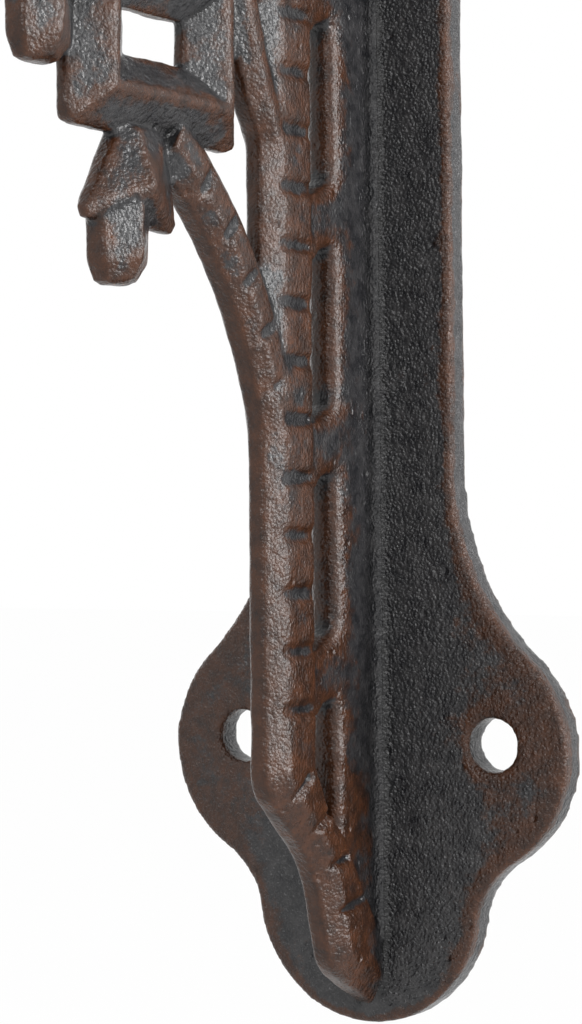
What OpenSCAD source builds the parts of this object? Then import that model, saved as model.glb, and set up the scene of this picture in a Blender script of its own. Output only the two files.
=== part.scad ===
// Cast iron shelf bracket with a rustic twig and stepped frame ornament.
// Its wall face lies in the plane Y = 0, the room is towards -Y, and Z is up.
// The origin is on the wall face, midway between the two lower screw holes.
// The wall leg and the shelf leg are alike: a flat plate with screw ears, a rib on it,
// and a bevelled twig in front of the rib, tied to it by rungs and bent back at the free end.

/* [Legs] */
// Height of the shelf's underside above the lower screws
shelf_height = 180.5; // [176:0.1:210]
// Distance from the wall to the screws at the tip of the arm
arm_reach = 118; // [112:1:150]
// Width of the straight strip of both plates
strip_w = 24.4; // [21:0.2:28]
// Thickness of both plates
plate_t = 4; // [3:0.1:5.5]

/* [Screw ears] */
// Distance between the two screws of a pair
screw_pitch = 34.6; // [33:0.2:36]
// Diameter of the screw holes
screw_d = 6.35; // [4.5:0.05:7.5]
// Distance of the upper wall screws below the shelf's underside
upper_drop = 48.5; // [48:0.5:60]
// Distance from the middle of a leg to the centre of an ear's round side
ear_centre = 12.1; // [11:0.1:13]
// Radius of an ear's round side
ear_r = 14.8; // [13.6:0.1:16]
// Distance from the screws to an ear's centre, towards the free end
ear_drop = 1; // [0:0.1:2]
// Radius of the hollow curve from the strip into an ear
sweep_r = 30; // [22:0.5:33]
// Distance from the screws to the free end of a leg
tongue_reach = 33.8; // [33:0.1:36]
// Radius of a leg's round free end
tongue_r = 15; // [13.6:0.1:15.6]
// Radius of the hollow curve between an ear and the free end
waist_r = 10; // [7:0.5:13]

/* [Ribs] */
// Thickness of the rib on each plate
rib_t = 4.4; // [3.8:0.1:5.2]
// Height of the rib above its plate
rib_h = 9.5; // [8:0.1:11]
// Radius of the hollow corners between a rib and its plate
root_r = 1.7; // [1:0.1:2.4]
// Radius of the rib's two outer corners
nose_r = 1.5; // [0.8:0.1:1.7]

/* [Leg twigs] */
// Width of the straight twig along each leg
twig_w = 9.7; // [8.8:0.1:10.4]
// Thickness of that twig
twig_t = 5.2; // [4.8:0.1:6]
// Clear gap between a rib and its twig
twig_gap = 4.5; // [4:0.1:5.5]
// Width of the bevels along the front edges of that twig
bevel_w = 2.9; // [2.2:0.1:3.2]
// Width of the bevels along its back edges
back_bevel = 1.2; // [0.8:0.1:2]
// Width of the narrow flat that is left at a twig's edge
edge_flat = 2; // [1.4:0.1:2.4]
// Distance from one bark nick to the next
nick_pitch = 6.6; // [5.6:0.1:8]
// Distance from the free end's screws to the first bark nick of the straight twig
first_nick = 5; // [3:0.1:8]
// Depth of a bark nick
nick_depth = 0.6; // [0.3:0.05:0.8]
// Length of a bark nick along its twig
nick_l = 1.9; // [1.4:0.1:2.4]
// Width of the narrower nicks on the bent foot
foot_nick_w = 1.3; // [1:0.1:1.8]

/* [Rungs] */
// Distance from one rung to the next
rung_pitch = 26.3; // [23:0.1:30]
// Distance from the free end's screws to the first rung
first_rung = 8.7; // [6:0.1:12]
// Length of a rung along its leg
rung_l = 7.4; // [5:0.1:9]
// Thickness of a rung
rung_t = 4.2; // [3:0.1:4.8]
// Distance that a rung's outer end lies nearer to the free end
rung_slant = 3; // [0:0.1:4]

/* [Frames] */
// Width of a frame, measured out from the wall
frame_w = 31.5; // [28.6:0.1:33]
// Height of a frame, which is also the rise from one to the next
frame_h = 21.4; // [20.6:0.1:22]
// Distance that a frame steps out over the one below
frame_step = 13.4; // [12.4:0.1:14.4]
// Clear distance from the wall plate to the lowest frame
frame_out = 28.5; // [27.8:0.1:29.6]
// Width of a frame's upright bars
upright_w = 10; // [8.6:0.1:10.6]
// Height of a frame's level bars
level_h = 8.3; // [7.2:0.1:8.6]
// Thickness of the bars at their ridge
ridge_t = 7.4; // [6.6:0.1:8.2]
// Thickness of the bars at their edges
rim_t = 1.2; // [0.8:0.1:2]
// Radius of a frame's rounded outer corners
corner_r = 2; // [1:0.1:3]

/* [Drops] */
// Distance from the frame below to the middle of a drop beside it
drop_out = 2.7; // [1.6:0.1:3.2]
// Length of a drop below its frame
drop_l = 16; // [15:0.1:17.4]
// Height of its cap below the frame
cap_h = 9.1; // [8.6:0.1:10.4]
// Width of the cap at its eaves
eaves_w = 15.2; // [13.6:0.1:16]
// Thickness of the cap at its eaves, over the ridge
eaves_t = 8; // [7.2:0.1:8.6]
// Width of the cap where it leaves the frame
crown_w = 7.6; // [6:0.1:9]
// Distance that the cap's crown lies nearer to the wall than its eaves
crown_in = 2.6; // [1:0.1:3.4]
// Rise of the arch in the cap's lower lip
lip_rise = 2.2; // [1.4:0.1:2.8]
// Radius of the lip's rounded ends
lip_end_r = 1.5; // [0.8:0.1:2]
// Width of the body under the cap
bud_w = 8.6; // [7.8:0.1:9.6]
// Distance that the body hangs further out than the cap
bud_out = 0.8; // [0:0.1:1.4]
// Thickness of the body at its ridge
bud_t = 6.6; // [5.6:0.1:7]
// Thickness of the body at its sides
bud_rim = 2.2; // [1.4:0.1:2.8]
// Distance that the body narrows on each side towards its lower end
bud_taper = 0.9; // [0.4:0.1:1.4]
// Distance that the body's lower end is higher on the wall's side
bud_slant = 1.5; // [0.5:0.1:2]

/* [Branches] */
// Width of the lowest branch
low_branch_w = 7; // [6.4:0.1:7.6]
// Width of the middle branch and the high branch
branch_w = 5.8; // [5.2:0.1:6.4]
// Thickness of a branch
branch_t = 5; // [4.4:0.1:5.4]
// Width of the bevels along the edges of a branch
branch_bevel = 2.2; // [1.6:0.1:2.4]
// Height of the lowest branch, from where it leaves the wall twig to the lowest frame
low_branch = 41.6; // [37:0.2:47]
// Distance from the lowest frame's inner side to where that branch meets it
low_reach = 13.5; // [12:0.1:14.5]
// Distance from the lowest frame down to where the middle branch leaves the wall twig
mid_branch = 1.6; // [0:0.2:4]
// Distance from the lowest frame up to where the high branch leaves the wall twig
high_branch = 12; // [10:0.2:16]

/* [Hidden] */
$fn = 96;
OVER = 1;
BITE = 0.02;
RIDGE_FLAT = 0.6;
FRAMES = 4;
KNEE_STEPS = 6;
HOLLOW_STEPS = 8;
TOE_STEPS = 7;
BEND_STEPS = 10;

dark_iron = "#2c2c30";
brown_iron = "#4a362d";
worn_iron = "#5c3f30";

screw_rise = shelf_height - upper_drop;
strip_half = strip_w / 2;
wall_inner = shelf_height - plate_t;
arm_inner = arm_reach - plate_t;
rib_front = plate_t + rib_h;
twig_back = rib_front + twig_gap;
twig_mid = twig_back + twig_w / 2;
twig_front = twig_back + twig_w;
frame_side = plate_t + frame_out;
drop_in = frame_w - frame_step + drop_out;
frame_base = shelf_height - twig_front - FRAMES * frame_h;
frame_crown = level_h / 4;

// A twig's bent foot: its start, the lean of its shin, heel and toe, their lengths and bends
foot_start = -1.5;
shin_lean = 48;
heel_lean = 14;
toe_lean = 62;
shin_run = 6.3;
foot_rest = 29.1;
heel_run = tongue_reach - foot_rest;
knee_r = 6.2;
hollow_r = 17.3;
// The foot's back, which closes in on the rib
rib_lap = 1.7;
rib_meet = -6.8;
// The rib's lower slope, from its heel to its toe, each told from the free end
heel_in = 24;
toe_in = 9.8;
rib_heel = heel_in - tongue_reach;
rib_toe = toe_in - tongue_reach;
// Bark nicks on the foot: how far down its front each starts, its lean and its length on the face
foot_nicks = [[0.268, 35, 3.4], [0.33, 29, 3.4], [0.503, 11, 3.4], [0.66, 11, 5]];
// The lower ends of a drop's body: the radius on the room's side and on the wall's side
bud_out_r = 3;
bud_in_r = 1.7;
// Height of the body's upper end, which is hidden in the cap
bud_top = cap_h * 0.6;
// The middle branch's leans at its root and past the lowest frame, and the length between them
mid_lean = 31;
mid_upright = 15;
sway_l = 24;
// How much of its width the middle branch has at its root, and the steps to its full width
root_share = 0.5;
ROOT_STEPS = 4;
// Distance that a branch's end is sunk into its frame before the frame is cut from it
sink = 1;

// Turns a side view, drawn as distance from the wall against height, into a solid centred on X = 0
module side_on(thickness) {
    rotate([90, 0, -90])
        linear_extrude(height = thickness, center = true)
            children();
}

// Takes what is drawn for the wall leg to the shelf leg, face to face and free end to free end
module on_shelf_leg() {
    translate([0, -arm_reach, shelf_height])
        rotate(180, [0, 1, 1])
            children();
}

// The crossing point of two circles, on the right of the way from the first to the second centre
function rest_on(c0, r0, c1, r1) =
    let (gap = c1 - c0,
         d = norm(gap),
         a = (r0 * r0 - r1 * r1 + d * d) / (2 * d),
         h = sqrt(r0 * r0 - a * a))
    c0 + a * gap / d + h * [-gap[1], gap[0]] / d;

// Half of the hollow sweep from the strip into an ear centred at height 0
module sweep_half() {
    rise = sqrt(pow(ear_r + sweep_r, 2) - pow(strip_half + sweep_r - ear_centre, 2));
    lobe = [ear_centre, 0];
    hollow = [strip_half + sweep_r, rise];
    difference() {
        polygon([[0, 0], lobe, hollow, [0, rise]]);
        translate(hollow) circle(sweep_r + BITE);
    }
}

// Half of the waist between an ear and the round free end
module waist_half() {
    lobe = [ear_centre, -ear_drop];
    tongue = [0, tongue_r - tongue_reach];
    hollow = rest_on(lobe, ear_r + waist_r, tongue, tongue_r + waist_r);
    difference() {
        polygon([[0, 0], tongue, hollow, lobe]);
        translate(hollow) circle(waist_r + BITE);
    }
}

module both_sides() {
    children();
    mirror([1, 0, 0]) children();
}

// Flat outline of a leg, from its free end to the given length above the screws
module leg_outline(length) {
    translate([-strip_half, -ear_drop]) square([strip_w, length + ear_drop]);
    translate([0, tongue_r - tongue_reach]) circle(tongue_r);
    both_sides() {
        translate([0, -ear_drop]) {
            translate([ear_centre, 0]) circle(ear_r);
            sweep_half();
        }
        waist_half();
    }
}

// A second pair of ears that the strip runs through
module upper_ears() {
    both_sides() {
        translate([ear_centre, 0]) circle(ear_r);
        sweep_half();
        mirror([0, 1]) sweep_half();
    }
}

module screw_pair() {
    both_sides() translate([screw_pitch / 2, 0, 0]) circle(screw_d / 2);
}

// A flat outline, drawn across and up the leg, becomes a plate that stands on the wall
module against_wall() {
    rotate([90, 0, 0]) linear_extrude(height = plate_t) children();
}

module wall_plate() {
    color(dark_iron) against_wall() difference() {
        union() {
            leg_outline(wall_inner);
            translate([0, screw_rise]) upper_ears();
        }
        screw_pair();
        translate([0, screw_rise]) screw_pair();
    }
}

module shelf_plate() {
    color(dark_iron) on_shelf_leg() against_wall() difference() {
        leg_outline(arm_reach);
        screw_pair();
    }
}

// Side view of the zone that a leg's rib or twig may fill, mitred at the inner corner
module mitre_zone(inner) {
    polygon([[plate_t, -tongue_reach], [plate_t, inner], [plate_t + inner, 0], [plate_t + inner, -tongue_reach]]);
}

// Side view of all that lies behind the slanted seam between a rib and its twig's foot
module rib_zone() {
    polygon([[plate_t, rib_toe], [rib_front, rib_heel],
             [rib_front, wall_inner + arm_inner], [plate_t, wall_inner + arm_inner]]);
}

// Section of a rib, drawn across and away from the wall, with hollow roots and rounded corners
module rib_section() {
    half = rib_t / 2;
    translate([-half, plate_t]) square([rib_t, rib_h - nose_r]);
    translate([nose_r - half, plate_t]) square([rib_t - 2 * nose_r, rib_h]);
    both_sides() {
        translate([half - nose_r, rib_front - nose_r]) circle(nose_r);
        difference() {
            translate([0, plate_t]) square([half + root_r, root_r]);
            translate([half + root_r, plate_t + root_r]) circle(root_r);
        }
    }
}

module rib(inner) {
    intersection() {
        translate([0, 0, -tongue_reach])
            linear_extrude(height = inner + tongue_reach)
                mirror([0, 1]) rib_section();
        side_on(strip_w) intersection() {
            mitre_zone(inner);
            rib_zone();
        }
    }
}

// Section of a twig, drawn across its width and through its thickness
module twig_section(width, thickness, front_bevel, rear_bevel) {
    edge = width / 2;
    flat = edge_flat / 2;
    half = thickness / 2;
    polygon([[edge, -flat], [edge, flat], [edge - front_bevel, half], [rear_bevel - edge, half],
             [-edge, flat], [-edge, -flat], [rear_bevel - edge, -half], [edge - front_bevel, -half]]);
}

// Radius of the round cut that leaves a bark nick of the given width
function nick_r(width) = (width * width / 4 + nick_depth * nick_depth) / (2 * nick_depth);

// One bark nick across a twig, whose faces are at the given half thickness
module nick(half, width) {
    r = nick_r(nick_l);
    for (side = [-1, 1])
        translate([0, 0, side * (half + r - nick_depth)])
            rotate([0, 90, 0]) cylinder(r = r, h = width, center = true);
}

// The straight twig of a leg without its nicks
module twig_bar(inner) {
    intersection() {
        translate([0, -twig_mid, foot_start])
            linear_extrude(height = inner)
                rotate(-90) twig_section(twig_w, twig_t, bevel_w, back_bevel);
        side_on(strip_w) mitre_zone(inner);
    }
}

module leg_twig(inner) {
    top = inner - twig_w - rib_h - twig_gap - nick_pitch / 2;
    difference() {
        twig_bar(inner);
        for (z = [first_nick : nick_pitch : top])
            translate([0, -twig_mid, z])
                rotate([90, 0, -90]) nick(twig_t / 2, twig_w + OVER);
    }
}

// Unit vector square to a line that leans by the given angle, pointing away from the wall
function facing(lean) = [cos(lean), -sin(lean)];

// Points round an arc of the foot's front, each with its lean
function front_arc(pivot, r, from, to, steps) =
    [for (i = [0 : steps]) let (a = from + (to - from) * i / steps) concat(pivot + r * facing(a), a)];

// The same distance down a line that leans by the given angle
function down(point, lean, length) = point - length * [sin(lean), cos(lean)];

// The last point of an arc without its lean
function end_of(arc) = let (p = arc[len(arc) - 1]) [p[0], p[1]];

// The foot's front in side view: knee, shin, hollow, heel and toe, each point with its lean
function foot_front() =
    let (knee = front_arc([twig_front - knee_r, foot_start], knee_r, 0, shin_lean, KNEE_STEPS),
         shin_end = down(end_of(knee), shin_lean, shin_run),
         hollow = front_arc(shin_end + hollow_r * facing(shin_lean), -hollow_r, shin_lean, heel_lean,
                            HOLLOW_STEPS),
         heel_end = down(end_of(hollow), heel_lean, heel_run),
         toe = front_arc(heel_end - knee_r * facing(heel_lean), knee_r, heel_lean, toe_lean, TOE_STEPS))
    concat(knee, hollow, toe);

// The foot's back in side view: down to the rib's outer side, then down the rib's slope to the plate
function foot_seam() =
    [[twig_back + back_bevel, foot_start], [twig_back - rib_lap, rib_meet],
     [rib_front, rib_heel], [plate_t, rib_toe]];

// A point along a line of points, at the given share of their number
function along(points, share) =
    let (at = share * (len(points) - 1), i = min(floor(at), len(points) - 2))
    points[i] + (at - i) * (points[i + 1] - points[i]);

// A closed skin over rings of points that all have the same number of corners
module skin(rings) {
    n = len(rings[0]);
    last = len(rings) - 1;
    polyhedron(points = [for (ring = rings) each ring],
               faces = concat([[for (j = [0 : n - 1]) j]],
                              [for (i = [0 : last - 1]) for (j = [0 : n - 1])
                                  [i * n + j, (i + 1) * n + j, (i + 1) * n + (j + 1) % n, i * n + (j + 1) % n]],
                              [[for (j = [n - 1 : -1 : 0]) last * n + j]]));
}

// A point of a side view, at the given distance from the middle plane
function off_middle(view, x) = [x, -view[0], view[1]];

// Where the foot's front bevel meets its side face
function shoulder(p) = [p[0], p[1]] - bevel_w * facing(p[2]);

// A bark nick that runs in from the foot's front over its bevel and onto its side face
module foot_nick(share, lean, length) {
    r = nick_r(foot_nick_w);
    centre = shoulder(along(foot_front(), share)) + (bevel_w - length) / 2 * facing(lean);
    for (side = [-1, 1])
        translate(off_middle(centre, side * (twig_t / 2 + r - nick_depth)))
            rotate([90 + lean, 0, 0]) cylinder(r = r, h = bevel_w + length, center = true);
}

module twig_foot() {
    difference() {
        foot_skin();
        for (n = foot_nicks) foot_nick(n[0], n[1], n[2]);
    }
}

module foot_skin() {
    edges = [for (p = foot_front()) [[p[0], p[1]], shoulder(p)]];
    ends = [for (p = edges[len(edges) - 1]) down(p, toe_lean, (p[0] - plate_t) / sin(toe_lean))];
    rings = concat(edges, [ends]);
    last = len(rings) - 1;
    flat = edge_flat / 2;
    half = twig_t / 2;
    skin([for (i = [0 : last])
        let (tip = rings[i][0], shoulder = rings[i][1], back = along(foot_seam(), i / last))
        [off_middle(tip, -flat), off_middle(tip, flat), off_middle(shoulder, half),
         off_middle(back, half), off_middle(back, -half), off_middle(shoulder, -half)]]);
}

// Rungs of a leg, fitted between its rib and its twig
module rungs(inner) {
    last = inner - rib_h - twig_gap - rung_l;
    inside = rib_front - nose_r;
    outside = twig_back + back_bevel;
    difference() {
        for (z = [first_rung : rung_pitch : last])
            side_on(rung_t) polygon([[inside, z - rung_l / 2 + rung_slant / 2],
                                     [inside, z + rung_l / 2 + rung_slant / 2],
                                     [outside, z + rung_l / 2 - rung_slant / 2],
                                     [outside, z - rung_l / 2 - rung_slant / 2]]);
        rib(inner);
        twig_bar(inner);
    }
}

// Places a frame's own side view, drawn from its lower inner corner
module at_frame(k) {
    translate([0, -frame_side - (k - 1) * frame_step, frame_base + (k - 1) * frame_h]) children();
}

// Section of a bevelled slab of the given extent: thin at its two ends and full between
module slab_section(extent, bar) {
    slope = (bar - RIDGE_FLAT) / 2;
    rim = rim_t / 2;
    half = ridge_t / 2;
    polygon([[0, -rim], [0, rim], [slope, half], [extent - slope, half],
             [extent, rim], [extent, -rim], [extent - slope, -half], [slope, -half]]);
}

// Section of a window that widens towards both faces
module window_section(extent, bar) {
    slope = (bar - RIDGE_FLAT) / 2;
    rim = rim_t / 2;
    half = ridge_t / 2;
    wide = slope * (1 + OVER / (half - rim));
    polygon([[bar, -rim], [bar, rim], [bar - wide, half + OVER], [extent - bar + wide, half + OVER],
             [extent - bar, rim], [extent - bar, -rim], [extent - bar + wide, -half - OVER],
             [bar - wide, -half - OVER]]);
}

// A section drawn outwards and through, pulled up
module pulled_up(height) {
    linear_extrude(height = height) rotate(-90) children();
}

// A section drawn upwards and through, pulled out from the wall
module pulled_out(width) {
    rotate([90, 0, 0]) linear_extrude(height = width) mirror([1, 0]) rotate(90) children();
}

// Square with four round corners, standing on its lower inner corner
module rounded(width, height, r) {
    translate([r, 0]) square([width - 2 * r, height]);
    translate([0, r]) square([width, height - 2 * r]);
    for (x = [r, width - r]) for (y = [r, height - r]) translate([x, y]) circle(r);
}

// Mitred frame whose outer corners are still square
module square_frame() {
    difference() {
        intersection() {
            pulled_up(frame_h) slab_section(frame_w, upright_w);
            pulled_out(frame_w) slab_section(frame_h, level_h);
        }
        intersection() {
            pulled_up(frame_h) window_section(frame_w, upright_w);
            pulled_out(frame_w) window_section(frame_h, level_h);
        }
    }
}

module picture_frame() {
    intersection() {
        square_frame();
        side_on(ridge_t + OVER) rounded(frame_w, frame_h, corner_r);
    }
}

// Section of a cap or body: thin at both sides and thick along its middle
module ridge_section(width, thickness, rim) {
    polygon([[rim / 2, -width / 2], [thickness / 2, 0], [rim / 2, width / 2],
             [-rim / 2, width / 2], [-thickness / 2, 0], [-rim / 2, -width / 2]]);
}

// Side view of the cap's lower part: an arched lip with rounded ends
module lip_view() {
    arch_r = (eaves_w * eaves_w / 4 + lip_rise * lip_rise) / (2 * lip_rise);
    difference() {
        translate([-eaves_w / 2, -cap_h]) rounded(eaves_w, 2 * cap_h, lip_end_r);
        translate([0, lip_rise - cap_h - arch_r]) circle(arch_r);
    }
}

// Gabled cap that tapers up into its frame and leans in towards the wall
module drop_cap() {
    narrowing = 1 - crown_w / eaves_w;
    pivot = crown_in / narrowing;
    intersection() {
        translate([0, pivot, -cap_h])
            linear_extrude(height = cap_h + frame_crown, scale = 1 - narrowing * (1 + frame_crown / cap_h))
                translate([0, -pivot]) ridge_section(eaves_w, eaves_t, rim_t);
        side_on(eaves_t + OVER) lip_view();
    }
}

// Side view of the body under the cap, with a slanted lower end and rounded corners
module bud_view() {
    top = bud_w / 2;
    low = top - bud_taper;
    hull() {
        translate([-top, -bud_top]) square([bud_w, OVER]);
        translate([low - bud_out_r, bud_out_r - drop_l]) circle(bud_out_r);
        translate([bud_in_r - low, bud_in_r + bud_slant - drop_l]) circle(bud_in_r);
    }
}

module drop_body() {
    intersection() {
        side_on(bud_t + OVER) bud_view();
        translate([-bud_t / 2, bud_w / 2 + OVER, -drop_l]) rotate([90, 0, 0])
            linear_extrude(height = bud_w + 2 * OVER) rounded(bud_t, drop_l, bud_out_r);
        translate([0, 0, -drop_l - OVER]) linear_extrude(height = drop_l) ridge_section(bud_w, bud_t, bud_rim);
    }
}

module hanging_drop() {
    translate([0, -drop_in, 0]) {
        drop_cap();
        translate([0, -bud_out, 0]) drop_body();
    }
}

// The frame that a drop hangs from and the upright beside it are left out of the drop
module drop(k) {
    color(worn_iron) difference() {
        at_frame(k) hanging_drop();
        at_frame(k) square_frame();
        if (k > 1) at_frame(k - 1) pulled_up(frame_h) slab_section(frame_w, upright_w);
        if (k == 1) low_branch(false);
    }
}

module frame(k) {
    color(brown_iron) at_frame(k) picture_frame();
}

// Branch section swept round an arc that starts along +Y and bends towards +X
module branch_arc(width, r, turn, nicks) {
    translate([r, 0, 0]) difference() {
        mirror([1, 0, 0]) rotate_extrude(angle = turn)
            translate([r, 0]) twig_section(width, branch_t, branch_bevel, branch_bevel);
        if (nicks) for (a = [0.5 : floor(r * turn * PI / 180 / nick_pitch)])
            rotate(-a * nick_pitch / r * 180 / PI)
                translate([-r, 0, 0]) nick(branch_t / 2, width + OVER);
    }
}

// Branch that leaves the wall twig along it and ends at a point given from the twig's middle
module parting_branch(width, root, out, up, nicks) {
    r = (out * out + up * up) / (2 * out);
    translate([0, -twig_mid, root]) rotate([90, 0, -90])
        branch_arc(width, r, 2 * atan2(out, up), nicks);
}

// The whole lowest branch, from the middle of the wall twig into the lowest frame
module low_branch(nicks) {
    parting_branch(low_branch_w, frame_base - low_branch, frame_side + low_reach - twig_mid,
                   low_branch + sink / 2, nicks);
}

module low_branch_twig() {
    color(worn_iron) difference() {
        low_branch(true);
        twig_bar(wall_inner);
        frame_cut(1);
    }
}

// A frame together with its window, to end a branch on
module frame_cut(k) {
    at_frame(k) square_frame();
    at_frame(k) translate([-ridge_t / 2, -frame_w + upright_w / 2, level_h / 2])
        cube([ridge_t, frame_w - upright_w, frame_h - level_h]);
}

// Points round an arc, each with its lean, from a start that leans by the given angle
function bend_from(start, lean, r, turn, steps) =
    [for (i = [0 : steps]) let (a = lean + turn * i / steps)
        [start[0] + r * (cos(lean) - cos(a)), start[1] + r * (sin(a) - sin(lean)), a]];

// Corners of a branch's section, across its width and through its thickness
function branch_corners() =
    let (w = branch_w / 2, h = branch_t / 2, f = edge_flat / 2, b = branch_w / 2 - branch_bevel)
    [[w, -f], [w, f], [b, h], [-b, h], [-w, f], [-w, -f], [-b, -h], [b, -h]];

// The side view's point where a branch ends in a frame's inner side, halfway up
function frame_joint(k) = [frame_side + (k - 1) * frame_step + sink, frame_base + (k - 0.5) * frame_h];

// Branch that leans out of the wall twig past the lowest frame and bends over to the second
module mid_branch_twig() {
    swing = mid_upright - mid_lean;
    sway = bend_from([twig_mid, frame_base - mid_branch], mid_lean, sway_l * 180 / (swing * PI), swing,
                     BEND_STEPS);
    way = frame_joint(2) - end_of(sway);
    turn = 2 * (atan2(way[0], way[1]) - mid_upright);
    over = bend_from(end_of(sway), mid_upright, norm(way) / (2 * sin(turn / 2)), turn, BEND_STEPS);
    way_points = concat(sway, [for (i = [1 : BEND_STEPS]) over[i]]);
    color(worn_iron) difference() {
        skin([for (i = [0 : len(way_points) - 1])
            let (p = way_points[i], fill = min(1, root_share + (1 - root_share) * i / ROOT_STEPS))
            [for (c = branch_corners()) off_middle([p[0], p[1]] + c[0] * fill * facing(p[2]), c[1])]]);
        twig_bar(wall_inner);
        frame_cut(1);
        frame_cut(2);
    }
}

module high_branch_twig() {
    way = frame_joint(3) - [twig_mid, frame_base + high_branch];
    color(worn_iron) difference() {
        parting_branch(branch_w, frame_base + high_branch, way[0], way[1], true);
        twig_bar(wall_inner);
        frame_cut(2);
        frame_cut(3);
    }
}

module wall_rib() { color(dark_iron) rib(wall_inner); }
module shelf_rib() { color(dark_iron) on_shelf_leg() rib(arm_inner); }
module wall_twig() { color(brown_iron) leg_twig(wall_inner); }
module shelf_twig() { color(brown_iron) on_shelf_leg() leg_twig(arm_inner); }
module wall_twig_foot() { color(worn_iron) twig_foot(); }
module shelf_twig_foot() { color(worn_iron) on_shelf_leg() twig_foot(); }
module wall_rungs() { color(worn_iron) rungs(wall_inner); }
module shelf_rungs() { color(worn_iron) on_shelf_leg() rungs(arm_inner); }

wall_plate();
shelf_plate();
wall_rib();
shelf_rib();
wall_twig();
shelf_twig();
wall_twig_foot();
shelf_twig_foot();
wall_rungs();
shelf_rungs();
frame(1);  // frame_1
frame(2);  // frame_2
frame(3);  // frame_3
frame(4);  // frame_4
drop(1);  // drop_1
drop(2);  // drop_2
drop(3);  // drop_3
drop(4);  // drop_4
low_branch_twig();
mid_branch_twig();
high_branch_twig();
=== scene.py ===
"""Looks of the cast iron shelf bracket: one rough sand casting in an antique finish.

The CAD parts are fused into one shell, so that every joint gets the soft fillet of a casting.
The shell is rounded and roughened, and then carved back into one closed piece for each CAD part.
"""

import math

import bmesh
import bpy
import numpy as np
from mathutils import Matrix, Vector


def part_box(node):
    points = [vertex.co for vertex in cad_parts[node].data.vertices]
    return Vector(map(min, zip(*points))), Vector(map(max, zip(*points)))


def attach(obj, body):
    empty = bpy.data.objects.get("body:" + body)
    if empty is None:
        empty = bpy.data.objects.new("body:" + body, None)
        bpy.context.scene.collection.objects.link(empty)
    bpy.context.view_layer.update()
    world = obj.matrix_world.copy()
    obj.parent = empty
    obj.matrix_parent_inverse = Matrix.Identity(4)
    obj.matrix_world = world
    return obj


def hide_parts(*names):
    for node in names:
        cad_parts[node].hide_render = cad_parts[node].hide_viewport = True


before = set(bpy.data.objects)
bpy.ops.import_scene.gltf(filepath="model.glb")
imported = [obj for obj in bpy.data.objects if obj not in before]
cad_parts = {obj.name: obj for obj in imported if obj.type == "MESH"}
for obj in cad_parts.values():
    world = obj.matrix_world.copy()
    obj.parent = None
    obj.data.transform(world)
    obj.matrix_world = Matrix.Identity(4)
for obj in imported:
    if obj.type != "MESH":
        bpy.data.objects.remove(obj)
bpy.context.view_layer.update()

MM = 0.001


def extent(node):
    """How far a CAD part reaches out of the wall and up, as (near, far, low, high), in mm to a tenth."""
    low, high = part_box(node)
    return [round(place / MM, 1) for place in (-high[1], -low[1], low[2], high[2])]


# Sizes of the casting, in millimetres, read off its CAD parts
PLATE_T = extent("wall_plate")[1]
RIB_FRONT = extent("wall_rib")[1]
TWIG_BACK, TWIG_FRONT, TWIG_END, _ = extent("wall_twig")
SHELF_HEIGHT = extent("shelf_plate")[3]
ARM_REACH = extent("shelf_twig")[1] + TWIG_END
FRAME_SIDE, FRAME_FAR_SIDE, FRAME_BASE, FRAME_TOP = extent("frame_1")
FRAME_W = FRAME_FAR_SIDE - FRAME_SIDE
FRAME_H = FRAME_TOP - FRAME_BASE
FRAME_STEP = extent("frame_2")[0] - FRAME_SIDE

# A drop's cap and body: how far out its middle is from its frame's inner side, and how far down it reaches
DROP_OUT = 20.8
DROP_L = 16.0
CAP_L = 9.3
LIP_RISE = 2.7

# Sand casting: the faces' size on the plates and on the finer work, the rounding, and the unevenness
PLATE_VOXEL = 0.41
FINE_VOXEL = 0.29
PLATE_ROUNDING = 3
FINE_ROUNDING = 4
WAVINESS = 0.24
WAVE_LENGTH = 5.0
LUMPS = 0.12
LUMP_LENGTH = 1.3
# Half the width of plate under the finer work, which only shapes the roots of the ribs and feet
STRIP = 8.0

# Where ribs' noses and twigs' ridges are worn round, in mm out of a leg's back, and how much of it the
# ridges get. It fades out over the last millimetres before the feet.
NOSE_BAND = (9.0, 11.5, 16.0, 18.0)
RIDGE_BAND = (21.5, 24.0, 26.0, 29.0)
RIDGE_SHARE = 0.55
FOOT_FADE = (-1.0, 2.0)

# Rounds of averaging on the plates' shell, and the mm that count as fully proud of what is near and far
NOSE_ROUNDS = 22
EDGE_ROUNDS = 6
BAND_ROUNDS = 70
EDGE_PROUD = 0.25
BAND_PROUD = 1.2

# How readily the finish browns at so many mm out of a leg's back: plate side, plate, rib, rungs, twig, frames
BROWNING = ((2.6, 0), (3.6, 0.1), (5, 0.1), (9, 0.18), (14.5, 0.22), (17.5, 0.3), (28.7, 0.3), (32.7, 0.24))
EAR_BROWNING = ((10, 0), (18, 0.22))
FOOT_BROWNING = 0.2
FOOT_HALF_T = 4.0

# Cell sizes of the finish's patterns, in mm
PATCH = 7.692
MOTTLE = 2.0833
SAND_GRAIN = 0.4
SAND_CLUMP = 0.66667
PIT_SPACING = 3.846
GRAIN_HEIGHT = 0.25


def colour(hex_value):
    """An sRGB hex colour as the linear colour that a shader takes."""
    parts = [int(hex_value[i:i + 2], 16) / 255 for i in (1, 3, 5)]
    return [c / 12.92 if c <= 0.04045 else ((c + 0.055) / 1.055) ** 2.4 for c in parts] + [1.0]


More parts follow.
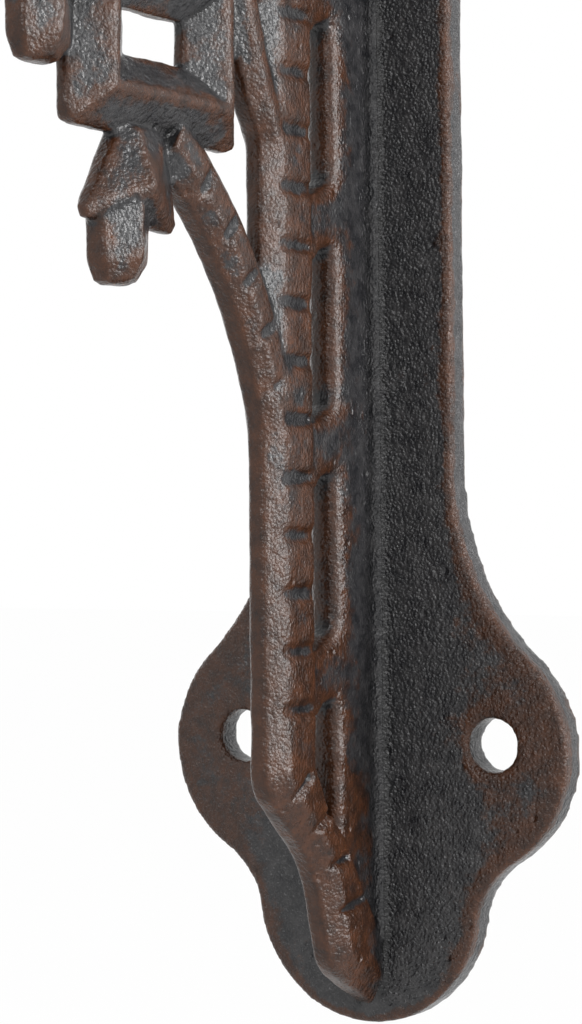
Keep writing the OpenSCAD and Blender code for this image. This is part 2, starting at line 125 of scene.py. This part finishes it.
def cut_off(bm, point, away):
    """Cuts off what lies beyond the plane through the point, in mm, and closes the cut."""
    result = bmesh.ops.bisect_plane(bm, geom=bm.verts[:] + bm.edges[:] + bm.faces[:], dist=1e-8,
                                    plane_co=Vector(point) * MM, plane_no=away, clear_outer=True)
    rim = [e for e in result["geom_cut"] if isinstance(e, bmesh.types.BMEdge) and e.is_boundary]
    if not rim:
        return
    cap = bmesh.ops.triangle_fill(bm, edges=rim, use_beauty=True, use_dissolve=False)
    for face in cap["geom"]:
        if isinstance(face, bmesh.types.BMFace):
            face.smooth = False
    for edge in rim:
        edge.smooth = False


def hull(bm, points):
    """Adds the convex body around points given as (across, out, up), in mm."""
    corners = [bm.verts.new((across * MM, -out * MM, up * MM)) for across, out, up in points]
    made = bmesh.ops.convex_hull(bm, input=corners)
    loose = {v for v in made["geom_interior"] + made["geom_unused"] if isinstance(v, bmesh.types.BMVert)}
    bmesh.ops.delete(bm, geom=list(loose), context="VERTS")


def section(outer_w, inner_w, half_t, rim, out, up, rise=0.0, sag=0.0):
    """The six corners of a ridged section: a rim that far out and in, and a ridge on either side.

    The ridges lie higher than the outer rim by the rise, and the inner rim lower by the sag."""
    return [(side * across, out + along, up + lift) for side in (-1, 1)
            for across, along, lift in ((rim, outer_w, 0), (half_t, 0, rise), (rim, -inner_w, -sag))]


def hanging_drop(bm, k):
    """A drop under frame k: a flared cap with an arched, rolled lip over a ridged and rounded body."""
    out = FRAME_SIDE + (k - 1) * FRAME_STEP + DROP_OUT
    up = FRAME_BASE + (k - 1) * FRAME_H
    cap_top = section(1.6, 6.8, 2.2, 1.0, out, up + 0.6)
    cap_lip = section(7.5, 9.0, 4.4, 0.6, out, up - CAP_L + 1.1, LIP_RISE, 0.6)
    cap_rim = section(7.1, 8.4, 3.9, 0.5, out, up - CAP_L, LIP_RISE, 0.6)
    hull(bm, cap_top + cap_lip + cap_rim)
    middle = out + 0.8
    body_top = section(4.4, 4.4, 3.4, 1.1, middle, up - 6.0)
    body_low = section(4.0, 3.9, 3.2, 1.1, middle + 0.2, up - DROP_L + 2.4, 0.6)
    tip_top = section(2.9, 2.4, 2.2, 0.9, middle + 0.5, up - DROP_L + 0.4, 0.3)
    tip = section(1.8, 1.4, 1.3, 0.6, middle + 0.6, up - DROP_L, 0.2)
    hull(bm, body_top + body_low + tip_top + tip)


def fused_shell(voxel, rounding_steps, strip=None):
    """One rounded, uneven skin over the CAD parts, as a mesh. A strip narrows its plates."""
    bm = bmesh.new()
    mesh = bpy.data.meshes.new("shell")
    for node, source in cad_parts.items():
        if node.startswith("drop"):
            hanging_drop(bm, int(node[-1]))
            continue
        part = bmesh.new()
        part.from_mesh(source.data)
        if strip and node.endswith("plate"):
            for side in (-1, 1):
                cut_off(part, (side * strip, 0, 0), (side, 0, 0))
        part.to_mesh(mesh)
        part.free()
        bm.from_mesh(mesh)
    bmesh.ops.remove_doubles(bm, verts=bm.verts, dist=1e-7)
    bm.to_mesh(mesh)
    bm.free()
    shell = bpy.data.objects.new("shell", mesh)
    bpy.context.scene.collection.objects.link(shell)
    remesh = shell.modifiers.new("skin", "REMESH")
    remesh.mode = "VOXEL"
    remesh.voxel_size = voxel * MM
    rounding = shell.modifiers.new("rounding", "SMOOTH")
    rounding.factor = 0.5
    rounding.iterations = rounding_steps
    for name, depth, length in (("waves", WAVINESS, WAVE_LENGTH), ("lumps", LUMPS, LUMP_LENGTH)):
        clouds = bpy.data.textures.new(name, "CLOUDS")
        clouds.noise_scale = length * MM
        clouds.noise_depth = 1
        uneven = shell.modifiers.new(name, "DISPLACE")
        uneven.texture = clouds
        uneven.texture_coords = "LOCAL"
        uneven.strength = depth * MM
        uneven.mid_level = 0.5
    depsgraph = bpy.context.evaluated_depsgraph_get()
    skin = bpy.data.meshes.new_from_object(shell.evaluated_get(depsgraph))
    bpy.data.objects.remove(shell)
    return skin


def point_values(mesh, key):
    """The mesh's point coordinates or normals, one row a point."""
    values = np.empty(len(mesh.vertices) * 3)
    mesh.vertices.foreach_get(key, values)
    return values.reshape(-1, 3)


def edge_ends(mesh):
    """The two points of each edge."""
    ends = np.empty(len(mesh.edges) * 2, dtype=np.int64)
    mesh.edges.foreach_get("vertices", ends)
    return ends.reshape(-1, 2)


def blurred(values, ends, rounds):
    """Each point's value after that many rounds of averaging with its neighbours."""
    count = len(values)
    near = np.bincount(ends.ravel(), minlength=count)
    near[near == 0] = 1
    for _ in range(rounds):
        total = np.zeros_like(values)
        for axis in range(values.shape[1]):
            total[:, axis] = (np.bincount(ends[:, 0], values[ends[:, 1], axis], count)
                              + np.bincount(ends[:, 1], values[ends[:, 0], axis], count))
        values = 0.3 * values + 0.7 * total / near[:, None]
    return values


def store(mesh, name, values):
    """Stores one value a point, between 0 and 1."""
    layer = mesh.attributes.new(name, "FLOAT", "POINT")
    layer.data.foreach_set("value", np.clip(values, 0, 1).astype(np.float32))


def out_of_leg(places):
    """How far each place, in metres, lies out of the nearer leg's back, in mm."""
    return np.minimum(-places[:, 1], SHELF_HEIGHT * MM - places[:, 2]) / MM


def wear_noses(mesh, rounds):
    """Rounds the ribs' noses and the rungs fully and the twigs' ridges half as much, but not the feet."""
    places = point_values(mesh, "co")
    out = out_of_leg(places)
    nose = np.interp(out, NOSE_BAND, (0, 1, 1, 0))
    ridge = RIDGE_SHARE * np.interp(out, RIDGE_BAND, (0, 1, 1, 0))
    above_wall_foot = np.interp(places[:, 2] / MM, FOOT_FADE, (0, 1))
    before_shelf_foot = np.interp(ARM_REACH + places[:, 1] / MM, FOOT_FADE, (0, 1))
    worn = np.maximum(nose, ridge) * above_wall_foot * before_shelf_foot
    places += (blurred(places, edge_ends(mesh), rounds) - places) * worn[:, None]
    mesh.vertices.foreach_set("co", places.astype(np.float32).ravel())
    mesh.update()


def mark_raised(mesh, name, rounds, full):
    """Stores how far each point stands out of its surroundings: 0.5 is level, and 1 is full mm proud."""
    places = point_values(mesh, "co")
    normals = point_values(mesh, "normal")
    proud = ((places - blurred(places, edge_ends(mesh), rounds)) * normals).sum(axis=1) / (full * MM)
    store(mesh, name, 0.5 + 0.5 * proud)


def mark_zones(mesh):
    """Stores how readily each zone browns, and how sandy it is: the plates fully, the finer work half."""
    places = point_values(mesh, "co")
    out = out_of_leg(places)
    across = np.abs(places[:, 0]) / MM
    warm = np.interp(out, *zip(*BROWNING))
    warm += np.interp(across, *zip(*EAR_BROWNING)) * (out > BROWNING[0][0])
    below = np.interp(-places[:, 2] / MM, (1, 4), (0, 1))
    warm += FOOT_BROWNING * below * np.interp(out, (4, 6), (0, 1)) * (across < FOOT_HALF_T)
    store(mesh, "warm", warm)
    store(mesh, "sandy", np.interp(out, (5, 8), (1, 0.5)))


def clipped(bm, cuts):
    """A closed copy of what lies on the kept side of every cut.

    A cut is a line in the side view: a point (out, up) and the direction (out, up) that is cut away."""
    part = bm.copy()
    for (out, up), (away_out, away_up) in cuts:
        cut_off(part, (0, -out, up), (0, -away_out, away_up))
    return part


def on_shelf(cuts):
    """The wall leg's cuts on the shelf leg, which is shaped alike from its free end to the corner."""
    return [((ARM_REACH - up, SHELF_HEIGHT - out), (-away_up, -away_out))
            for (out, up), (away_out, away_up) in cuts]


def both_ways(point, away):
    """The cut that parts two neighbours, for the one that loses what lies away and then for the other."""
    return (point, away), (point, (-away[0], -away[1]))


# What a cut takes away: all that lies further out, further in, above or below
OUTWARD = (1, 0)
INWARD = (-1, 0)
UPWARD = (0, 1)
DOWNWARD = (0, -1)

# Where the legs' parts are carved from each other: distances out from a leg's plate, and the twig's lower end
PLATE_CUT = PLATE_T + 0.35
RIB_CUT = RIB_FRONT + 0.4
RUNG_CUT = TWIG_BACK - 0.4
TWIG_CUT = TWIG_FRONT + 0.5
AT_FOOT = (0, TWIG_END)
# The lower edge of the shelf leg's twig, the mitre between the legs, and the slope between a rib's lower end
# and its twig's foot
UNDER_SHELF_LEG = (0, SHELF_HEIGHT - TWIG_CUT)
WALL_FROM_SHELF, SHELF_FROM_WALL = both_ways((0, SHELF_HEIGHT), (1, 1))
RIB_FROM_FOOT, FOOT_FROM_RIB = both_ways((PLATE_CUT, extent("wall_rib")[2] - 0.5), (0.884, -0.467))

PLATE_CUTS = [((PLATE_CUT, 0), OUTWARD)]
LEG_PARTS = {
    "rib": [((PLATE_CUT, 0), INWARD), ((RIB_CUT, 0), OUTWARD), RIB_FROM_FOOT],
    "rungs": [((RIB_CUT, 0), INWARD), ((RUNG_CUT, 0), OUTWARD), (AT_FOOT, DOWNWARD)],
    "twig": [((RUNG_CUT, 0), INWARD), ((TWIG_CUT, 0), OUTWARD), (AT_FOOT, DOWNWARD)],
    "twig_foot": [((PLATE_CUT, 0), INWARD), (AT_FOOT, UPWARD), FOOT_FROM_RIB],
}


# How much the seam between two frames falls for each mm outwards
SEAM_FALL = 0.033


def frame_top(k, away):
    """The cut between frame k and what lies on it: away is 1 to cut off what is above, -1 what is below."""
    side = FRAME_SIDE + k * FRAME_STEP
    middle = side + (FRAME_W - FRAME_STEP) / 2
    return (middle, FRAME_BASE + k * FRAME_H), (SEAM_FALL * away, away)


def inner_side(k, away):
    """The cut along frame k's side towards the wall: away is 1 to cut off what is further out, -1 in."""
    return (FRAME_SIDE + (k - 1) * FRAME_STEP - 0.25, 0), (away, 0)


def outer_side(k, away):
    """The cut along frame k's other side, with away as above."""
    return (FRAME_SIDE + (k - 1) * FRAME_STEP + FRAME_W + 0.2, 0), (away, 0)


# The ornaments' cuts: off the twig, under the frames, between the low branch and the drop beside it,
# and between the branches one above the other
OFF_TWIG = ((TWIG_CUT, 0), INWARD)
UNDER_FRAMES = (0, FRAME_BASE - 0.3)
LOW_FROM_DROP, DROP_FROM_LOW = both_ways((48.2, FRAME_BASE), (0.924, -0.382))
MID_FROM_LOW, LOW_FROM_MID = both_ways((TWIG_CUT, 57.5), (0.77, -0.64))
HIGH_FROM_MID, MID_FROM_HIGH = both_ways((TWIG_CUT, 90.4), (0.8, -0.6))

ORNAMENTS = {
    "low_branch_twig": [[OFF_TWIG, (UNDER_FRAMES, UPWARD), LOW_FROM_DROP, LOW_FROM_MID]],
    "drop_1": [[(UNDER_FRAMES, UPWARD), DROP_FROM_LOW]],
    "mid_branch_twig": [[OFF_TWIG, inner_side(1, 1), frame_top(1, 1), MID_FROM_LOW, MID_FROM_HIGH],
                        [OFF_TWIG, inner_side(2, 1), frame_top(1, -1), MID_FROM_HIGH]],
    "high_branch_twig": [[OFF_TWIG, inner_side(2, 1), frame_top(2, 1), HIGH_FROM_MID],
                         [OFF_TWIG, inner_side(3, 1), frame_top(2, -1), HIGH_FROM_MID]],
    "frame_1": [[inner_side(1, -1), outer_side(1, 1), (UNDER_FRAMES, DOWNWARD), frame_top(1, 1)]],
}
for k in (2, 3, 4):
    ORNAMENTS["frame_%d" % k] = [[inner_side(k, -1), outer_side(k, 1), frame_top(k - 1, -1), frame_top(k, 1)]]
    below_drop = frame_top(k - 2, -1) if k > 2 else (UNDER_FRAMES, DOWNWARD)
    ORNAMENTS["drop_%d" % k] = [[outer_side(k - 1, -1), frame_top(k - 1, 1), below_drop]]


def carve_plates(skin):
    """The two plates: CAD part name to bmesh pieces."""
    whole = bmesh.new()
    whole.from_mesh(skin)
    parts = {"wall_plate": [clipped(whole, PLATE_CUTS + [WALL_FROM_SHELF])],
             "shelf_plate": [clipped(whole, on_shelf(PLATE_CUTS) + [SHELF_FROM_WALL])]}
    whole.free()
    return parts


def carve_fine_work(skin):
    """All but the plates: CAD part name to bmesh pieces."""
    whole = bmesh.new()
    whole.from_mesh(skin)
    above = clipped(whole, [(UNDER_SHELF_LEG, DOWNWARD)])
    below = clipped(whole, [(UNDER_SHELF_LEG, UPWARD)])
    shelf_leg = clipped(above, [SHELF_FROM_WALL])
    wall_corner = clipped(above, [WALL_FROM_SHELF])
    ornaments = clipped(below, [OFF_TWIG])
    wall_leg = clipped(below, [((TWIG_CUT, 0), OUTWARD)])
    parts = {}
    for part, cuts in LEG_PARTS.items():
        parts["wall_" + part] = [clipped(wall_leg, cuts), clipped(wall_corner, cuts)]
        parts["shelf_" + part] = [clipped(shelf_leg, on_shelf(cuts))]
    for node, cells in ORNAMENTS.items():
        parts[node] = [clipped(ornaments, cuts) for cuts in cells]
    for bm in (whole, above, below, shelf_leg, wall_corner, ornaments, wall_leg):
        bm.free()
    return parts


def add(tree, kind, settings=None, links=None):
    """Adds a node with its settings, and links its inputs to other nodes' outputs."""
    node = tree.nodes.new(kind)
    for key, value in (settings or {}).items():
        if isinstance(key, int) or key in node.inputs:
            node.inputs[key].default_value = value
        else:
            setattr(node, key, value)
    for key, source in (links or {}).items():
        tree.links.new(source, node.inputs[key])
    return node


def cells(size):
    """A pattern's scale in Object coordinates, from its cells' size in mm."""
    return 1 / (size * MM)


def antique_iron():
    """Sand-cast iron under an antique finish: a blue-black coat, rubbed to rust brown where it stands proud.

    It shows as a dark, waxy sheen broken by the sand's grain, with brown specks along every border."""
    material = bpy.data.materials.new("antique_sand_cast_iron")
    material.use_nodes = True
    tree = material.node_tree
    tree.nodes.clear()
    place = add(tree, "ShaderNodeTexCoord").outputs["Object"]
    edge, band, warm, sandy = [add(tree, "ShaderNodeAttribute", {"attribute_name": name}).outputs["Fac"]
                               for name in ("edge", "band", "warm", "sandy")]

    # Brown where the patches, raised bands, edges and zone add up to enough, with specks at its border
    patches = add(tree, "ShaderNodeTexNoise", {"Scale": cells(PATCH), "Detail": 7.0, "Roughness": 0.8},
                  {"Vector": place})
    proud = add(tree, "ShaderNodeMath", {"operation": "MULTIPLY_ADD", 1: 0.9},
                {0: band, 2: patches.outputs["Fac"]})
    arris = add(tree, "ShaderNodeMath", {"operation": "MULTIPLY_ADD", 1: 0.4},
                {0: edge, 2: proud.outputs[0]})
    brown = add(tree, "ShaderNodeMath", {"operation": "ADD"}, {0: warm, 1: arris.outputs[0]})
    rusted = add(tree, "ShaderNodeMapRange",
                 {"From Min": 1.38, "From Max": 1.54, "interpolation_type": "SMOOTHSTEP"},
                 {"Value": brown.outputs[0]}).outputs[0]
    rubbed = add(tree, "ShaderNodeMapRange",
                 {"From Min": 0.74, "From Max": 1.0, "To Min": 0.0, "To Max": 0.6},
                 {"Value": edge}).outputs[0]
    # Painted shade: places sunk below their surroundings, such as the gaps between twig and rib and the roots
    # of fillets, are darkened to near black
    painted_hollow_shade = add(tree, "ShaderNodeMapRange",
                 {"From Min": 0.15, "From Max": 0.45, "To Min": 0.12, "To Max": 1.0},
                 {"Value": band}).outputs[0]

    # Coat, rust and rubbed edge, each mottled between a dark and a light tone, and darkened to near black in
    # hollows as painted shade
    mottle = add(tree, "ShaderNodeTexNoise", {"Scale": cells(MOTTLE), "Detail": 5.0, "Roughness": 0.68},
                 {"Vector": place})
    tones = []
    for dark, light in (("#121317", "#3d3c3d"), ("#22130b", "#4e2d19"), ("#3c2217", "#66432f")):
        ramp = add(tree, "ShaderNodeValToRGB", links={"Fac": mottle.outputs["Fac"]})
        for stop, position, tone in zip(ramp.color_ramp.elements, (0.3, 0.72), (dark, light)):
            stop.position = position
            stop.color = colour(tone)
        tones.append(ramp.outputs["Color"])
    coat, rust, bare = tones
    worn = add(tree, "ShaderNodeMix", {"data_type": "RGBA"}, {0: rusted, 6: coat, 7: rust}).outputs[2]
    bared = add(tree, "ShaderNodeMix", {"data_type": "RGBA"}, {0: rubbed, 6: worn, 7: bare}).outputs[2]
    finish = add(tree, "ShaderNodeMix", {"data_type": "RGBA", "blend_type": "MULTIPLY", "Factor": 1.0},
                 {6: bared, 7: painted_hollow_shade}).outputs[2]

    # Sand grain with its clumps, and a few blow-hole pits of 1 mm
    sand = add(tree, "ShaderNodeTexVoronoi", {"Scale": cells(SAND_GRAIN)}, {"Vector": place})
    clumps = add(tree, "ShaderNodeTexNoise", {"Scale": cells(SAND_CLUMP), "Detail": 3.0, "Roughness": 0.65},
                 {"Vector": place})
    pits = add(tree, "ShaderNodeTexVoronoi", {"Scale": cells(PIT_SPACING)}, {"Vector": place})
    pit = add(tree, "ShaderNodeMapRange",
              {"From Min": 0.0, "From Max": 0.14, "To Min": -1.6, "To Max": 0.0},
              {"Value": pits.outputs["Distance"]})
    grain = add(tree, "ShaderNodeMath", {"operation": "MULTIPLY_ADD", 1: -0.5},
                {0: sand.outputs["Distance"], 2: clumps.outputs["Fac"]})
    relief = add(tree, "ShaderNodeMath", {"operation": "ADD"}, {0: grain.outputs[0], 1: pit.outputs[0]})
    height = add(tree, "ShaderNodeMath", {"operation": "MULTIPLY"}, {0: relief.outputs[0], 1: sandy})
    bump = add(tree, "ShaderNodeBump", {"Strength": 1.0, "Distance": GRAIN_HEIGHT * MM},
               {"Height": height.outputs[0]})

    gloss = add(tree, "ShaderNodeMapRange", {"To Min": 0.16, "To Max": 0.26}, {"Value": rusted})
    shader = add(tree, "ShaderNodeBsdfPrincipled", {"IOR": 1.5, "Specular IOR Level": 0.4},
                 {"Base Color": finish, "Roughness": gloss.outputs[0], "Normal": bump.outputs["Normal"]})
    add(tree, "ShaderNodeOutputMaterial", links={"Surface": shader.outputs["BSDF"]})
    return material


finish = antique_iron()


def dress(skin, voxel, carve):
    """Colours a shell and makes one visual piece of each part carved from it."""
    # Averaging reaches as far on finer faces only after more rounds
    finer = (PLATE_VOXEL / voxel) ** 2
    wear_noses(skin, round(NOSE_ROUNDS * finer))
    mark_raised(skin, "edge", round(EDGE_ROUNDS * finer), EDGE_PROUD)
    mark_raised(skin, "band", round(BAND_ROUNDS * finer), BAND_PROUD)
    mark_zones(skin)
    skin.shade_smooth()
    for node, parts in carve(skin).items():
        mesh = bpy.data.meshes.new("cast_" + node)
        joined = bmesh.new()
        for part in parts:
            part.to_mesh(mesh)
            joined.from_mesh(mesh)
            part.free()
        joined.to_mesh(mesh)
        joined.free()
        mesh.materials.append(finish)
        piece = bpy.data.objects.new("cast_" + node, mesh)
        bpy.context.scene.collection.objects.link(piece)
        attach(piece, "root")
        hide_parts(node)
    bpy.data.meshes.remove(skin)


dress(fused_shell(PLATE_VOXEL, PLATE_ROUNDING), PLATE_VOXEL, carve_plates)
dress(fused_shell(FINE_VOXEL, FINE_ROUNDING, STRIP), FINE_VOXEL, carve_fine_work)


# Studio, in metres: soft boxes aimed at the bracket's middle, and a sheet of white paper below it
AIM = Vector((0, -0.03, 0.05))
PAPER_SIZE = 4.0
PAPER_UP = -0.16
# The world's strength on the object, where the rays that see the background get 1
ROOM_LEVEL = 0.3
# The share of the paper that glows white to those rays, the rest of it being lit and shaded
PAPER_GLOW = 0.985


def soft_box(name, az, up, distance, wide, high, power):
    """A studio soft box that many degrees round from in front of the wall plate, aimed at the bracket."""
    lamp = bpy.data.lights.new(name, "AREA")
    lamp.shape = "RECTANGLE"
    lamp.size = wide
    lamp.size_y = high
    lamp.energy = power
    box = bpy.data.objects.new(name, lamp)
    way = Vector((math.sin(math.radians(az)), -math.cos(math.radians(az)), math.tan(math.radians(up))))
    box.location = AIM + way * distance
    box.rotation_euler = (AIM - box.location).to_track_quat("-Z", "Y").to_euler()
    bpy.context.scene.collection.objects.link(box)


soft_box("side_box", az=106, up=2, distance=0.9, wide=0.18, high=1.0, power=10)
soft_box("frame_box", az=76, up=2, distance=0.9, wide=0.1, high=1.0, power=2.5)
soft_box("front_box", az=12, up=25, distance=1.1, wide=0.5, high=0.5, power=5.5)
soft_box("left_box", az=-110, up=15, distance=1.0, wide=0.5, high=0.9, power=1.2)


def seen_white(tree):
    """1 for the rays that see the white background: straight, mirrored or through glass."""
    rays = add(tree, "ShaderNodeLightPath").outputs
    mirrored = add(tree, "ShaderNodeMath", {"operation": "MAXIMUM"},
                   {0: rays["Is Camera Ray"], 1: rays["Is Glossy Ray"]}).outputs[0]
    return add(tree, "ShaderNodeMath", {"operation": "MAXIMUM"},
               {0: mirrored, 1: rays["Is Transmission Ray"]}).outputs[0]


def white_room():
    """A world that is white to look at and dimmer on the object."""
    world = bpy.data.worlds.new("studio")
    bpy.context.scene.world = world
    world.use_nodes = True
    tree = world.node_tree
    tree.nodes.clear()
    level = add(tree, "ShaderNodeMapRange", {"To Min": ROOM_LEVEL, "To Max": 1.0},
                {"Value": seen_white(tree)})
    air = add(tree, "ShaderNodeBackground", {"Color": colour("#ffffff")}, {"Strength": level.outputs[0]})
    add(tree, "ShaderNodeOutputWorld", links={"Surface": air.outputs["Background"]})


def white_paper():
    """Matt white studio paper, which shows as white with the object's shadow on it."""
    paper = bpy.data.materials.new("white_studio_paper")
    paper.use_nodes = True
    tree = paper.node_tree
    tree.nodes.clear()
    matt = add(tree, "ShaderNodeBsdfPrincipled", {"Base Color": colour("#f2f2f0"), "Roughness": 0.9})
    glow = add(tree, "ShaderNodeEmission", {"Color": colour("#ffffff"), "Strength": 1.0})
    share = add(tree, "ShaderNodeMath", {"operation": "MULTIPLY", 1: PAPER_GLOW}, {0: seen_white(tree)})
    both = add(tree, "ShaderNodeMixShader",
               links={0: share.outputs[0], 1: matt.outputs["BSDF"], 2: glow.outputs[0]})
    add(tree, "ShaderNodeOutputMaterial", links={"Surface": both.outputs[0]})
    return paper


white_room()
floor_mesh = bpy.data.meshes.new("studio_floor")
bm = bmesh.new()
bmesh.ops.create_grid(bm, x_segments=1, y_segments=1, size=PAPER_SIZE,
                      matrix=Matrix.Translation((0, 0, PAPER_UP)))
bm.to_mesh(floor_mesh)
bm.free()
floor_mesh.materials.append(white_paper())
floor = bpy.data.objects.new("studio_floor", floor_mesh)
bpy.context.scene.collection.objects.link(floor)

# The photograph's viewing angle: 330 mm from the lower screws, 30 degrees to the right of plate-on
VIEW_AZ = 30.0
VIEW_DISTANCE = 330.0
VIEW_UP = 27.8
VIEW_YAW = 1.46
VIEW_PITCH = -0.06
VIEW_ROLL = -0.51
PIXELS_PER_MM = 8.34
FOCAL_PX = PIXELS_PER_MM * VIEW_DISTANCE
# The sensor's width lies along the image's longer side, its height of so many pixels
IMAGE_HEIGHT = 1024
SENSOR_WIDTH = 36.0

yaw = math.radians(VIEW_AZ + VIEW_YAW)
pitch = math.radians(VIEW_PITCH)
ahead = Vector((-math.sin(yaw) * math.cos(pitch), math.cos(yaw) * math.cos(pitch), math.sin(pitch)))
level_right = ahead.cross(Vector((0, 0, 1))).normalized()
level_up = level_right.cross(ahead)
roll = math.radians(VIEW_ROLL)
right = level_right * math.cos(roll) + level_up * math.sin(roll)
up = level_up * math.cos(roll) - level_right * math.sin(roll)
lens = bpy.data.cameras.new("photo_camera")
lens.sensor_width = SENSOR_WIDTH
lens.lens = FOCAL_PX * SENSOR_WIDTH / IMAGE_HEIGHT
lens.clip_start = 0.01
camera = bpy.data.objects.new("photo_camera", lens)
az = math.radians(VIEW_AZ)
spot = Vector((VIEW_DISTANCE * math.sin(az), -PLATE_T - VIEW_DISTANCE * math.cos(az), VIEW_UP)) * MM
camera.matrix_world = Matrix.Translation(spot) @ Matrix((right, up, -ahead)).transposed().to_4x4()
bpy.context.scene.collection.objects.link(camera)
bpy.context.scene.camera = camera

bpy.context.scene.view_settings.view_transform = "Standard"
